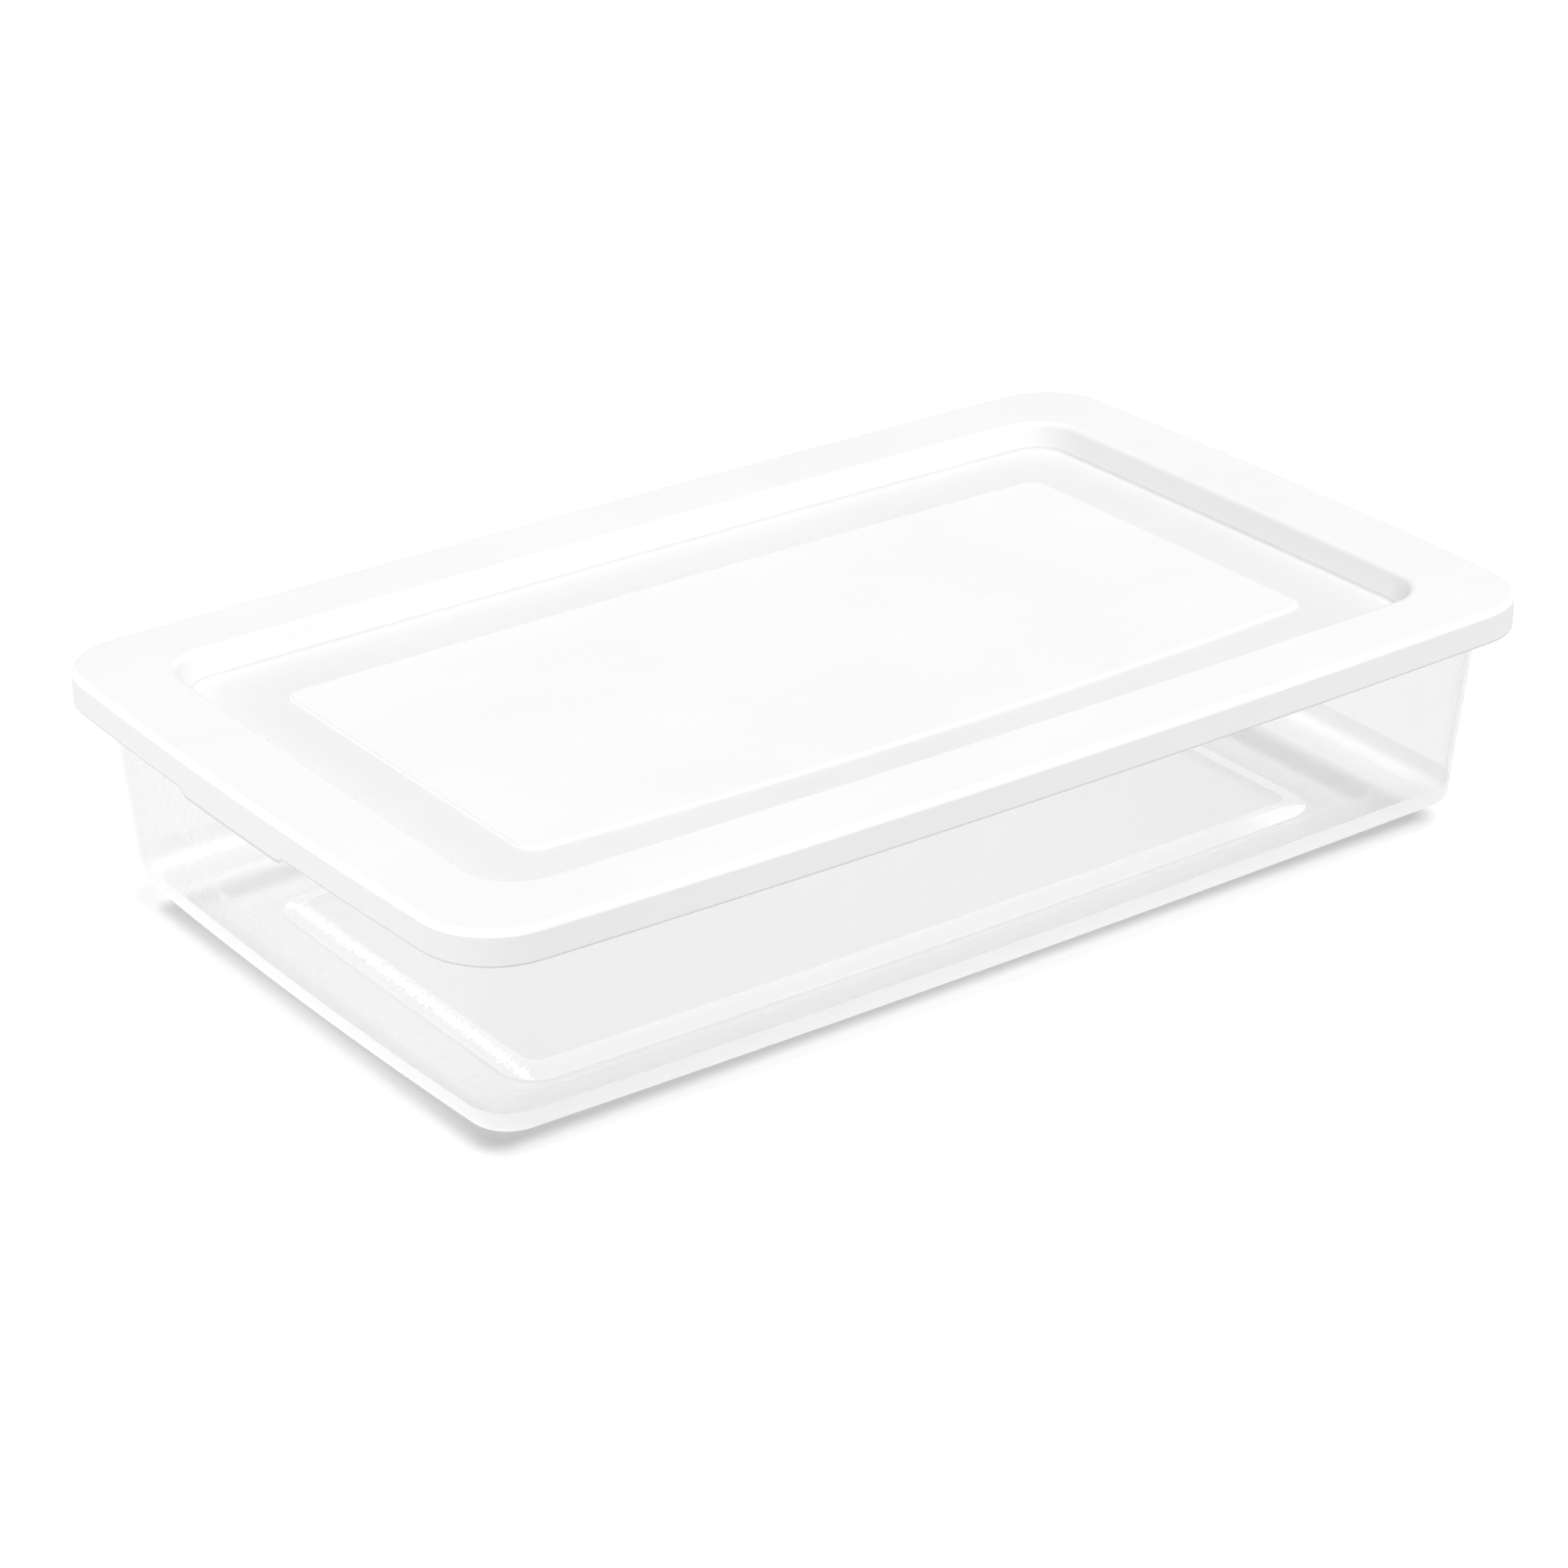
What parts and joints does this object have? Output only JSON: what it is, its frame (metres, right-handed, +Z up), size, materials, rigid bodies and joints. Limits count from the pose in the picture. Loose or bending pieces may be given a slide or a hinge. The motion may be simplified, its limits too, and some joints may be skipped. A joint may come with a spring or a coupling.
{
  "type": "under bed storage box",
  "caption": "Low under-bed storage box: clear tapered plastic tub with a stepped stacking foot, and an opaque white lift-off lid with a recessed top.",
  "frame": {"origin": "centre of the box's footprint, on the surface its foot stands on", "axes": "+X along the long sides, +Y along the short sides, +Z up through the lid"},
  "size_m": [0.69, 0.421, 0.138],
  "materials": {
    "clear_tub": "clear, slightly milky, smooth moulded",
    "white_lid": "opaque white, satin moulded"
  },
  "bodies": {
    "tub": {"tub": "clear_tub"},
    "lid": {"lid": "white_lid"}
  },
  "joints": [
    {"name": "lid_lift", "type": "slide", "parent": "tub", "child": "lid", "axis": [0, 0, 1], "range_m": [0, 0.25]}
  ]
}
